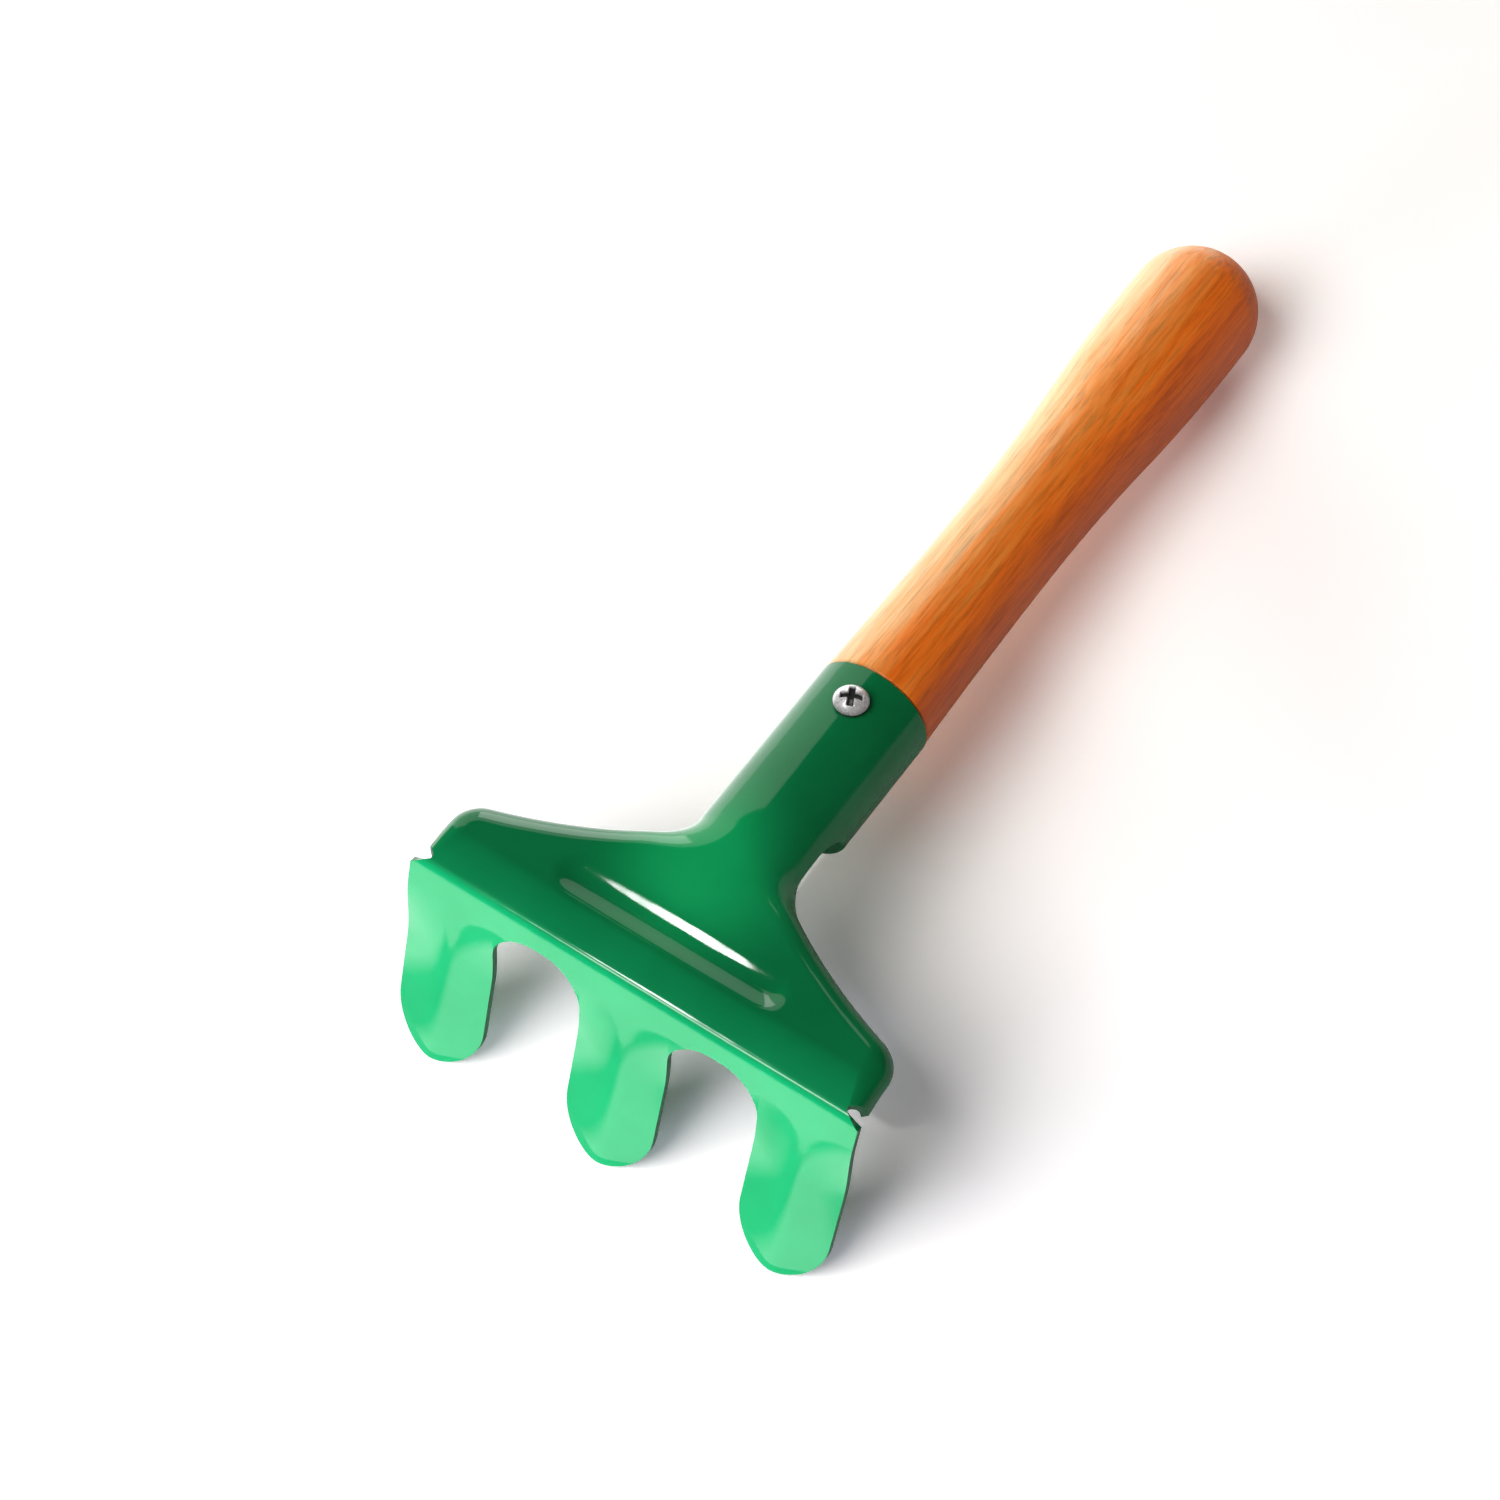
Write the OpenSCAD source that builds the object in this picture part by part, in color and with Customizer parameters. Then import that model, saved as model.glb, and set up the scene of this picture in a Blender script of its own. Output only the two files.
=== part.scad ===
// A child's sand rake: a pressed sheet-steel head with three tines, a turned wooden handle
// and the screw that keeps the handle in the head's rolled socket.
//
// The pieces are drawn in the tool's own frame, in millimetres: X across the head, Y from the
// front bend towards the butt, Z up, with the handle's axis along Y. at_rest() then lays the
// tool down on its tine tips and its butt, as it lies on a table.

/* [Overall] */
// Length from the front bend of the head to the end of the handle
length = 150; // [140:1:220]
// Width across the three tines
width = 68.6; // [64:0.1:80]
// Thickness of the pressed sheet
sheet = 1; // [0.8:0.1:1.3]

/* [Tines] */
// Width of one tine
tine_w = 13.7; // [12:0.1:15]
// Length of a tine along its slope, from the front bend to the tip
tine_len = 34.4; // [28:0.1:45]
// Forward lean of the tines from square to the plate, in degrees
tine_lean = 15; // [4:1:22]
// Length of the rounded tip of a tine
tip_len = 8; // [6:0.5:12]
// How far the edges of a tine curl back behind its middle
tine_curl = 1.6; // [0.5:0.1:3]
// Distance below the front bend where the curl begins
curl_from = 4; // [2:0.5:8]
// Distance below the front bend where the curl is complete
curl_to = 16; // [12:0.5:22]
// Outer radius of the front bend
bend_r = 1.8; // [1.5:0.1:2.4]
// Depth of the strip left above the gaps
strip_h = 3.5; // [3:0.1:6]
// Radius in the top corners of the gaps
gap_r = 6; // [3:0.1:6.2]

/* [Plate] */
// Width of the plate over its turned-down ends
plate_w = 67.6; // [60:0.1:70]
// Distance from the front bend to the front of the turned-down ends, at their outer line
notch_y = 3.2; // [2.8:0.1:5]
// Slant of the cut between the front bend and the turned-down ends, in degrees
notch_slant = 40; // [20:1:42]
// Distance from the front bend to the start of the back corners
corner_y = 7.3; // [6:0.1:10]
// Radius of the back corners
corner_r = 5; // [3.8:0.1:6]
// Slope of the back edges where they leave the corners, in degrees
back_slope = 18; // [10:0.5:24]
// Radius of the hollow sweep of the back edges
back_r = 85; // [50:1:120]
// Radius of the roll along the rim
rim_r = 2.4; // [2:0.1:3]
// Angle through which the rim is rolled down
rim_sweep = 80; // [60:1:88]
// Straight length below the roll of the rim
rim_skirt = 1.2; // [0.5:0.1:2.5]
// Drop of the plate's front margin at the front bend
front_drop = 1.5; // [0.5:0.1:2]
// Width of the front margin
front_run = 6.5; // [5:0.1:8]

/* [Groove] */
// Distance from the front bend to the middle of the pressed groove
groove_y = 9; // [8:0.1:11]
// Overall length of the groove
groove_len = 36; // [24:0.5:44]
// Overall width of the groove
groove_w = 7; // [5:0.1:8]
// Depth of the groove
groove_depth = 0.9; // [0.5:0.1:2]

/* [Neck and socket] */
// Radius of the hollow between the back edge and the socket, seen from above
neck_r = 8; // [5:0.5:9]
// Height of the socket's top line above the plate
neck_rise = 1.3; // [0.5:0.1:4]
// Distance from the front bend where the plate begins to rise
rise_from = 13; // [11:0.5:15]
// Distance from the front bend where the rise ends
rise_to = 30; // [26:0.5:34]
// Angle on each side through which the neck is rolled at its narrowest
neck_sweep = 69; // [60:1:90]
// Radius of the cut in which the sides of the neck run down into the socket
flap_r = 6; // [3:0.5:7]
// Outside diameter of the rolled socket
socket_d = 17.2; // [15:0.1:19]
// Distance from the front bend to where the sheet closes into the socket
socket_from = 37; // [34:0.5:40]
// Distance from the front bend to the mouth of the socket
socket_to = 56; // [52:0.5:62]
// Width of the open seam under the socket
seam_w = 0.8; // [0.4:0.1:1.5]
// Length of the neck that runs on inside the socket's wall
lap_len = 1.2; // [0.8:0.1:2]
// Cover of the socket's wall over each face of the neck inside it
lap_skin = 0.05; // [0.04:0.01:0.1]

/* [Handle] */
// Gap between the tenon and the socket all round
tenon_play = 0.1; // [0.05:0.01:0.2]
// Length of the tenon inside the socket
tenon_len = 17.5; // [12:0.5:19]
// Bevel on the inner end of the tenon
tenon_bevel = 1; // [0.5:0.1:2]
// Gap between the shoulder of the handle and the mouth of the socket
shoulder_gap = 0.2; // [0.1:0.05:0.5]
// Rounding of the edge of the shoulder
shoulder_round = 0.5; // [0.2:0.1:0.6]
// Diameter of the handle at its shoulder
shoulder_d = 16.8; // [16.6:0.1:19]
// Diameter of the handle at its waist
waist_d = 15.7; // [14:0.1:16.4]
// Distance from the shoulder to the waist
waist_y = 34; // [25:0.5:45]
// Diameter of the butt
butt_d = 19.3; // [18:0.1:24]
// Length of the straight band in front of the rounded butt
butt_land = 4; // [3:0.5:8]

/* [Screw] */
// Outside diameter of the thread
screw_d = 2.9; // [2.2:0.1:3.5]
// Length of the screw under its head
screw_len = 12; // [9:0.5:13]
// Length of the screw's point
screw_point = 2.4; // [1.5:0.1:4]
// Pitch of the thread
thread_pitch = 1.1; // [0.9:0.1:1.4]
// Depth of the thread
thread_depth = 0.4; // [0.2:0.05:0.5]
// Distance from the mouth of the socket to the screw
screw_setback = 5.8; // [4:0.1:8]
// Gap round the thread in its holes
screw_play = 0.15; // [0.05:0.05:0.3]
// Diameter of the head
head_d = 4.9; // [4.4:0.1:6.5]
// Height of the head
head_h = 1.9; // [1.6:0.1:2.6]
// Height of the head's straight edge
head_edge = 0.5; // [0.3:0.1:0.8]
// Gap between the head and the top line of the socket
head_gap = 0.02; // [0.01:0.01:0.05]
// Overall length of the arms of the cross recess
recess_len = 2.9; // [2:0.1:3.4]
// Width of the arms of the cross recess
recess_w = 0.8; // [0.5:0.1:1]
// Depth of the cross recess
recess_h = 1.2; // [0.8:0.1:1.4]
// Angle at which the cross recess stopped, in degrees
recess_turn = 25; // [0:5:85]

/* [Hidden] */
$fn = 64;
eps = 0.01;

paint_green = [0.04, 0.52, 0.25];
wood_orange = [0.93, 0.62, 0.30];
bright_zinc = [0.80, 0.81, 0.83];

gap_w = (width - 3 * tine_w) / 2;
gap_top = strip_h + gap_r;

socket_r = socket_d / 2;
bore_r = socket_r - sheet - 2 * lap_skin;
neck_out_r = socket_r - lap_skin;
plate_z = neck_out_r - neck_rise;

// The front bend: where the front margin meets it, how it is tilted there, and its centre
margin_power = 1.3;
function margin_tilt(y) = atan(
    margin_power * front_drop / front_run * pow(max(0, 1 - y / front_run), margin_power - 1)
);
bend_run = bend_r * tan((90 - tine_lean - margin_tilt(0)) / 2);
bend_tilt = margin_tilt(bend_run);
bend_c = [bend_run, top_z(bend_run)] - bend_r * facing(bend_tilt);

tenon_r = bore_r - tenon_play;
shoulder_at = socket_to + shoulder_gap;
waist_at = shoulder_at + waist_y;
butt_r = butt_d / 2;
dome_at = length - butt_r;
land_at = dome_at - butt_land;
screw_at = socket_to - screw_setback;
pilot_r = screw_d / 2 + screw_play;

// Smooth step from 0 to 1 as t goes from 0 to 1
function ease(t) = let (c = max(0, min(1, t))) c * c * (3 - 2 * c);
function mix(a, b, t) = a + (b - a) * t;
// Direction, as [y, z], of a face that is tilted forward by a degrees
function facing(a) = [-sin(a), cos(a)];

// The sheet of the head
//
// The blank is one grid of cells. Its columns run from the middle of the head outwards, and its
// rows from the tine tips over the front bend and along the plate to the socket. A cell that the
// blank leaves out is simply absent. Every point is given on the outer face, t = 0, and on the
// inner face, t = sheet.

tine_cells = 4;
fillet_cells = 3;
roll_cells = 5;

tip_rows = 9;
strip_rows = 4;
bend_rows = 4;
relief_rows = 1;
end_rows = 6;
corner_rows = 4;
back_rows = 9;
neck_rows = 10;
straight_rows = 2;
flap_rows = 6;

// Each tine is pressed like a low roof along its middle. The share of the curl is 0 on the ridge
// and 1 at the tine's edge, u = 1.
ridge_round = 0.2;
function roof(u) = (norm([u, ridge_round]) - ridge_round) / (norm([1, ridge_round]) - ridge_round);

// A column is its place across the head, the depths below the bend where the strip ends and
// where the metal ends, and the share of the curl that it has.
function tine_column(middle, a) = [
    middle + tine_w / 2 * sin(a),
    gap_top,
    tine_len - tip_len * (1 - cos(a)),
    roof(sin(a))
];
function gap_column(edge, side, a) = let (run = gap_r * (1 - cos(a)), top = gap_top - gap_r * sin(a)) [
    edge + side * run,
    top,
    top,
    roof(1 - 2 * run / gap_w)
];
columns = concat(
    [for (m = [0:tine_cells]) tine_column(0, 90 * m / tine_cells)],
    [for (m = [1:fillet_cells]) gap_column(tine_w / 2, 1, 90 * m / fillet_cells)],
    [[(tine_w + gap_w) / 2, strip_h, strip_h, 0]],
    [for (m = [fillet_cells:-1:1]) gap_column(tine_w / 2 + gap_w, -1, 90 * m / fillet_cells)],
    [for (m = [-tine_cells:tine_cells]) tine_column(tine_w + gap_w, 90 * m / tine_cells)]
);
front_cells = len(columns) - 1;
half_cells = front_cells + roll_cells + 1;
outer_tine_cell = front_cells - 2 * tine_cells;

// Point on the strip or on a tine, s below the bend along the slope
function front_point(col, s, t) = let (
    back = tine_curl * col[3] * ease((s - curl_from) / (curl_to - curl_from)) + t,
    p = bend_c + (bend_r - back) * facing(90 - tine_lean) - (s - bend_run) * facing(-tine_lean)
) [col[0], p.x, p.y];

// The ends of the bend are cut back along a slant, from the strip's width to the plate's
function bend_point(col, w, t) = let (
    p = bend_c + (bend_r - t) * facing(mix(90 - tine_lean, bend_tilt, w))
) [col[0] * mix(1, roll_start(stations[0]).x / (width / 2), w), p.x, p.y];

// The plate's outline, seen from above, as a list of stations: place of the rim's outermost
// line, direction it faces, radius and sweep of its roll, length of its skirt, and how far the
// columns have spread out evenly over the section
function outward(a) = [cos(a), sin(a)];
corner_c = [plate_w / 2 - corner_r, corner_y];
corner_turn = 90 - back_slope;
back_c = corner_c + (corner_r + back_r) * outward(corner_turn);
neck_turn = acos((back_c.x - neck_out_r - neck_r) / (back_r - neck_r));
neck_c = back_c - (back_r - neck_r) * outward(neck_turn);

function rim_station(p, a) = [p, a, rim_r, rim_sweep, rim_skirt, 0];
function neck_station(p, a, f) = [
    p,
    a,
    mix(rim_r, neck_out_r, f),
    mix(rim_sweep, neck_sweep, f),
    rim_skirt * (1 - f),
    f
];
// The sides of the neck run down into the socket along a quarter circle in the sheet
flap_from = socket_from - flap_r - eps;
function flap_station(y, a) = [
    [neck_out_r, y],
    0,
    neck_out_r,
    neck_sweep + flap_r * (1 - cos(a)) / neck_out_r * 180 / PI,
    0,
    1
];
stations = concat(
    [for (i = [0:end_rows]) let (f = i / end_rows)
        rim_station([plate_w / 2, mix(notch_y, corner_y, f)], notch_slant * pow(1 - f, 2))],
    [for (i = [1:corner_rows]) let (a = corner_turn * i / corner_rows)
        rim_station(corner_c + corner_r * outward(a), a)],
    [for (i = [1:back_rows]) let (a = mix(corner_turn, neck_turn, i / back_rows))
        rim_station(back_c - back_r * outward(a), a)],
    [for (i = [1:neck_rows]) let (a = neck_turn * (1 - i / neck_rows))
        neck_station(neck_c - neck_r * outward(a), a, ease(i / neck_rows))],
    [for (i = [1:straight_rows])
        flap_station(mix(neck_c.y, flap_from, i / straight_rows), 0)],
    [for (i = [1:flap_rows]) let (a = 90 * i / flap_rows)
        flap_station(flap_from + flap_r * sin(a), a)],
    [flap_station(socket_from + lap_len, 90)]
);

// Inner end of the roll at a station. Along the rim the roll ends on the outline, and in the
// neck its centre comes to lie on the handle's axis.
function roll_start(st) = let (
    rim_reach = st[2] * sin(st[3]) + st[4] * cos(st[3])
) st[0] - mix(rim_reach, st[2], st[5]) * outward(st[1]);

function groove_drop(x, y) = let (
    half = (groove_len - groove_w) / 2,
    d = norm([max(0, abs(x) - half), y - groove_y]) / (groove_w / 2)
) d < 1 ? groove_depth * (1 + cos(180 * d)) / 2 : 0;

function top_z(y) = plate_z
    + neck_rise * ease((y - rise_from) / (rise_to - rise_from))
    - front_drop * pow(max(0, 1 - y / front_run), margin_power);

// Distance of column k from the middle along the section of a station
function along(st, k) = let (
    flat = roll_start(st).x,
    roll = st[2] * st[3] * PI / 180,
    spread = k <= front_cells ? flat * columns[k][0] / (width / 2)
        : k < half_cells ? flat + roll * (k - front_cells) / roll_cells
        : flat + roll + st[4]
) mix(spread, (flat + roll + st[4]) * k / half_cells, st[5]);

// Point at the distance d from the middle along the section of a station
function plate_point(st, d, t) = let (
    start = roll_start(st),
    a = min(st[3], max(0, d - start.x) / st[2] * 180 / PI),
    skirt = max(0, d - start.x - st[2] * st[3] * PI / 180),
    out = d <= start.x ? 0 : (st[2] - t) * sin(a) + skirt * cos(a),
    drop = st[2] - (st[2] - t) * cos(a) + skirt * sin(a),
    x = min(d, start.x)
) [
    x + out * cos(st[1]),
    start.y + out * sin(st[1]),
    top_z(start.y) - drop - (d <= start.x ? groove_drop(x, start.y) : 0)
];

function relief_point(col, w, t) = let (
    end = roll_start(stations[0]),
    y = mix(bend_run, end.y, w)
) [col[0] / (width / 2) * end.x, y, top_z(y) - t];

strip_row = tip_rows;
bend_row = strip_row + strip_rows;
relief_row = bend_row + bend_rows;
plate_row = relief_row + relief_rows;
row_count = plate_row + len(stations);
column_count = 2 * half_cells + 1;

function half_point(j, k, t) = let (col = columns[min(k, front_cells)])
    j < strip_row ? front_point(col, mix(col[2], col[1], j / tip_rows), t)
    : j < bend_row ? front_point(col, mix(col[1], bend_run, (j - strip_row) / strip_rows), t)
    : j < relief_row ? bend_point(col, (j - bend_row) / bend_rows, t)
    : j < plate_row ? relief_point(col, (j - relief_row) / relief_rows, t)
    : plate_point(stations[j - plate_row], along(stations[j - plate_row], k), t);

function grid_point(j, c, t) = let (
    p = half_point(j, abs(c - half_cells), t)
) c < half_cells ? [-p.x, p.y, p.z] : p;

head_points = [
    for (t = [0, sheet])
        for (j = [0:row_count - 1])
            for (c = [0:column_count - 1])
                grid_point(j, c, t)
];

// Whether the blank has metal in the cell between rows j and j + 1, columns c and c + 1
function has_cell(j, c) = let (k = c < half_cells ? half_cells - 1 - c : c - half_cells)
    j < 0 || j > row_count - 2 || c < 0 || c > column_count - 2 ? false
    : j < strip_row ? k < tine_cells || (k >= outer_tine_cell && k < front_cells)
    : j < plate_row ? k < front_cells
    : true;

function outer_id(j, c) = j * column_count + c;
function inner_id(id) = id + row_count * column_count;
function wall(a, b) = [[b, a, inner_id(a)], [b, inner_id(a), inner_id(b)]];

head_faces = [
    for (j = [0:row_count - 2])
        for (c = [0:column_count - 2])
            if (has_cell(j, c))
                let (
                    p = outer_id(j, c),
                    q = outer_id(j + 1, c),
                    r = outer_id(j + 1, c + 1),
                    s = outer_id(j, c + 1)
                )
                each concat(
                    [[p, q, r], [p, r, s]],
                    [[inner_id(r), inner_id(q), inner_id(p)], [inner_id(s), inner_id(r), inner_id(p)]],
                    has_cell(j, c - 1) ? [] : wall(p, q),
                    has_cell(j + 1, c) ? [] : wall(q, r),
                    has_cell(j, c + 1) ? [] : wall(r, s),
                    has_cell(j - 1, c) ? [] : wall(s, p)
                )
];

// Pose at rest: the tips and the rounded butt lie on the plane Z = 0. The tilt is that of the
// line under the butt that leaves every point of the head above it.
function tilt_at(p) = let (d = [dome_at - p.y, -p.z]) atan2(d.y, d.x) - asin(butt_r / norm(d));
rest_tilt = max([for (p = head_points) tilt_at(p)]);
function rest_y(p) = p.y * cos(rest_tilt) + p.z * sin(rest_tilt);
front_y = min([for (p = head_points) rest_y(p)]);
back_y = dome_at * cos(rest_tilt) + butt_r;
rest_shift = [0, -(front_y + back_y) / 2, dome_at * sin(rest_tilt) + butt_r];

module at_rest() {
    translate(rest_shift)
        rotate([-rest_tilt, 0, 0])
            children();
}

// Turns a piece drawn along Z so that it lies along the handle's axis
module along_handle(y) {
    translate([0, y, 0])
        rotate([-90, 0, 0])
            children();
}

module pressed_sheet() {
    polyhedron(points = head_points, faces = head_faces, convexity = 10);
}

module rolled_socket() {
    span = socket_to - socket_from;
    difference() {
        along_handle(socket_from)
            cylinder(r = socket_r, h = span);
        along_handle(socket_from - eps)
            cylinder(r = bore_r, h = span + 2 * eps);
        translate([-seam_w / 2, socket_from - eps, -socket_d])
            cube([seam_w, span + 2 * eps, socket_d]);
    }
}

module rake_head() {
    color(paint_green)
        at_rest()
            difference() {
                union() {
                    pressed_sheet();
                    rolled_socket();
                }
                translate([0, screw_at, 0])
                    cylinder(r = pilot_r, h = socket_d);
            }
}

// Half section of the handle, as [radius, distance from the front bend]. The waist runs into
// the butt along two equal curves that meet half way.
arc_steps = 12;
flare_run = (land_at - waist_at) / 2;
flare_rise = (butt_d - waist_d) / 4;
hollow_rise = (shoulder_d - waist_d) / 2;

tenon_from = socket_to - tenon_len;
handle_section = concat(
    [[0, tenon_from], [tenon_r - tenon_bevel, tenon_from], [tenon_r, tenon_from + tenon_bevel]],
    [[tenon_r, shoulder_at], [shoulder_d / 2 - shoulder_round, shoulder_at]],
    [for (i = [0:arc_steps])
        let (f = mix(1 - shoulder_round / waist_y, 0, i / arc_steps))
        [waist_d / 2 + hollow_rise * f * f, waist_at - waist_y * f]],
    [for (i = [1:arc_steps])
        let (f = i / arc_steps) [waist_d / 2 + flare_rise * f * f, waist_at + flare_run * f]],
    [for (i = [1:arc_steps])
        let (f = 1 - i / arc_steps) [butt_r - flare_rise * f * f, land_at - flare_run * f]],
    [for (i = [0:arc_steps])
        let (a = 90 * i / arc_steps) [butt_r * cos(a), dome_at + butt_r * sin(a)]]
);

module handle() {
    color(wood_orange)
        at_rest()
            difference() {
                along_handle(0)
                    rotate_extrude()
                        polygon(handle_section);
                translate([0, screw_at, socket_r - screw_len - screw_play])
                    cylinder(r = pilot_r, h = screw_len);
            }
}

// Half section of the screw below and above the underside of its head
root_r = screw_d / 2 - thread_depth;
turns = floor((screw_len - screw_point) / thread_pitch);
dome_h = head_h - head_edge;
dome_r = (head_d * head_d / 4 + dome_h * dome_h) / (2 * dome_h);
screw_section = concat(
    [[0, -screw_len], [root_r, screw_point - screw_len]],
    [for (i = [0:turns - 1]) each [
        [screw_d / 2, screw_point - screw_len + (i + 0.5) * thread_pitch],
        [root_r, screw_point - screw_len + (i + 1) * thread_pitch]
    ]],
    [[root_r, 0], [head_d / 2, 0], [head_d / 2, head_edge]],
    [for (i = [1:arc_steps])
        let (x = head_d / 2 * (1 - i / arc_steps)) [x, head_h - dome_r + sqrt(dome_r * dome_r - x * x)]]
);

module screw() {
    color(bright_zinc)
        at_rest()
            translate([0, screw_at, socket_r + head_gap])
                difference() {
                    rotate_extrude()
                        polygon(screw_section);
                    for (a = [0, 90])
                        rotate(recess_turn + a)
                            translate([-recess_len / 2, -recess_w / 2, head_h - recess_h])
                                cube([recess_len, recess_w, head_h]);
                }
}

rake_head();
handle();
screw();
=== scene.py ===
"""A child's sand rake: the green pressed head, the turned wooden handle and the screw.

The pieces are drawn in the tool's own frame in millimetres, X across the head, Y from the front
bend to the butt and Z up, with the handle's axis along Y. The points of each mesh are then laid
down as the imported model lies, on its tine tips and its butt. The studio is in metres.
"""
import math
from collections import namedtuple

import bpy
from mathutils import Matrix, Vector


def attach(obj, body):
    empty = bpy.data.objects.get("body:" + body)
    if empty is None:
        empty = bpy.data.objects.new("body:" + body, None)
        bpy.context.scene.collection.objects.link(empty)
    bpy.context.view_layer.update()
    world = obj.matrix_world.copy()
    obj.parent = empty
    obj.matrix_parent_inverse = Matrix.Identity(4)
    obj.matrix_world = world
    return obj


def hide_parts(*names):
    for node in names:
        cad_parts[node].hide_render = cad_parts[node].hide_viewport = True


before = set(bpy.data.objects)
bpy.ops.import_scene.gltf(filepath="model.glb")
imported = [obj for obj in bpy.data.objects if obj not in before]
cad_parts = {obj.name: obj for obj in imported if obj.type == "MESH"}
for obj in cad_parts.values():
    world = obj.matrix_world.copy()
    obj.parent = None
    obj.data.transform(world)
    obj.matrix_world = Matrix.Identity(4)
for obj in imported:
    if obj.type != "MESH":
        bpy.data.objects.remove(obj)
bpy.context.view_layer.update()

MM = 0.001
REST_TILT = 6.92842
REST_SHIFT = (0.0, -68.4204, 26.5803)
LAID_DOWN = Matrix.Rotation(math.radians(-REST_TILT), 4, "X")
AT_REST = Matrix.Translation(Vector(REST_SHIFT) * MM) @ LAID_DOWN

# Sizes of the rake, in millimetres and degrees
LENGTH = 150.0
WIDTH = 68.6
SHEET = 1.0
TINE_W, TINE_LEN, TINE_LEAN, TIP_LEN = 13.7, 34.4, 15.0, 8.0
TINE_CURL, CURL_FROM, CURL_TO, RIDGE_ROUND = 1.6, 4.0, 16.0, 0.2
BEND_R, STRIP_H, GAP_R = 1.8, 3.5, 6.0
PLATE_W, NOTCH_Y, NOTCH_SLANT, CORNER_Y, CORNER_R = 67.6, 3.2, 40.0, 7.3, 5.0
BACK_SLOPE, BACK_R = 18.0, 85.0
RIM_R, RIM_SWEEP, RIM_SKIRT, ROLL_R = 2.4, 80.0, 1.2, 3.6
FRONT_DROP, FRONT_RUN, MARGIN_POWER = 1.5, 6.5, 1.3
GROOVE_Y, GROOVE_LEN, GROOVE_W, GROOVE_DEPTH, GROOVE_FADE = 9.0, 36.0, 7.0, 0.9, 0.3
NECK_R, NECK_RISE, RISE_FROM, RISE_TO = 8.0, 1.3, 13.0, 30.0
NECK_SWEEP, FLAP_R = 69.0, 6.0
SOCKET_D, SOCKET_FROM, SOCKET_TO, SEAM_W = 17.2, 37.0, 56.0, 0.8
LAP_SKIN = 0.05
PAINT_EDGE, EDGE_STEPS, EDGE_ANGLE = 0.28, 3, 50.0
TENON_PLAY, TENON_LEN, TENON_BEVEL = 0.1, 17.5, 1.0
SHOULDER_GAP, SHOULDER_ROUND, SHOULDER_D = 0.2, 0.5, 16.8
WAIST_D, WAIST_Y, BUTT_D, BUTT_LAND = 15.7, 34.0, 19.3, 4.0
SCREW_D, SCREW_LEN, SCREW_POINT, THREAD_PITCH, THREAD_DEPTH = 2.9, 12.0, 2.4, 1.1, 0.4
SCREW_SETBACK, HEAD_D, HEAD_H, HEAD_EDGE, HEAD_GAP, HEAD_BREAK = 5.8, 4.9, 1.9, 0.5, 0.02, 0.06
RECESS_LEN, RECESS_W, RECESS_H, RECESS_TURN, RECESS_SLOPE = 2.9, 0.8, 1.2, 25.0, 0.16
RECESS_END_R, RECESS_END_SHARE = 1.5, 0.55

GAP_W = (WIDTH - 3 * TINE_W) / 2
GAP_TOP = STRIP_H + GAP_R
SOCKET_R = SOCKET_D / 2
NECK_OUT_R = SOCKET_R - LAP_SKIN
BORE_R = SOCKET_R - SHEET - 2 * LAP_SKIN
PLATE_Z = NECK_OUT_R - NECK_RISE
DOME_H = HEAD_H - HEAD_EDGE
DOME_R = ((HEAD_D / 2) ** 2 + DOME_H ** 2) / (2 * DOME_H)
SCREW_AT = Vector((0.0, SOCKET_TO - SCREW_SETBACK, SOCKET_R + HEAD_GAP))
EPS = 0.01


def sin(a):
    return math.sin(math.radians(a))


def cos(a):
    return math.cos(math.radians(a))


def mix(a, b, t):
    return a + (b - a) * t


def ease(t):
    c = max(0.0, min(1.0, t))
    return c * c * (3 - 2 * c)


def facing(a):
    """Direction in Y and Z of a face that is tilted forward by a degrees."""
    return Vector((-sin(a), cos(a)))


def outward(a):
    """Direction in X and Y that is turned from X towards Y by a degrees."""
    return Vector((cos(a), sin(a)))


def finish_piece(name, verts, faces, material, slot, node):
    """A smooth mesh object at the rake's place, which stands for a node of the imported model."""
    mesh = bpy.data.meshes.new(name)
    mesh.from_pydata([tuple(AT_REST @ (Vector(v) * MM)) for v in verts], [], faces)
    mesh.update()
    for poly in mesh.polygons:
        poly.use_smooth = True
    mesh.materials.append(material)
    obj = bpy.data.objects.new(name, mesh)
    bpy.context.scene.collection.objects.link(obj)
    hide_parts(node)
    return obj


# The pressed head: one grid of cells, columns across the head and rows along it
TINE_CELLS, FILLET_CELLS, ROLL_CELLS = 14, 8, 18
CROWN_SWEEP = 60.0
TIP_ROWS, STRIP_ROWS, BEND_ROWS, RELIEF_ROWS = 30, 10, 10, 2
END_ROWS, CORNER_ROWS, BACK_ROWS, NECK_ROWS = 14, 12, 24, 26
STRAIGHT_ROWS, FLAP_ROWS, SOCKET_ROWS = 4, 14, 14


def margin_share(y):
    """How far the margin is from the plate's level, 1 at the front and 0 from FRONT_RUN on."""
    return max(0.0, 1 - y / FRONT_RUN)


def margin_tilt(y):
    slope = MARGIN_POWER * FRONT_DROP / FRONT_RUN * margin_share(y) ** (MARGIN_POWER - 1)
    return math.degrees(math.atan(slope))


def top_z(y):
    rise = NECK_RISE * ease((y - RISE_FROM) / (RISE_TO - RISE_FROM))
    return PLATE_Z + rise - FRONT_DROP * margin_share(y) ** MARGIN_POWER


BEND_RUN = BEND_R * math.tan(math.radians((90 - TINE_LEAN - margin_tilt(0)) / 2))
BEND_TILT = margin_tilt(BEND_RUN)
BEND_C = Vector((BEND_RUN, top_z(BEND_RUN))) - BEND_R * facing(BEND_TILT)

# A column of the front: its place, where its strip and its free end stop, and its share of the curl
Column = namedtuple("Column", "x strip tip curl")


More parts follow.
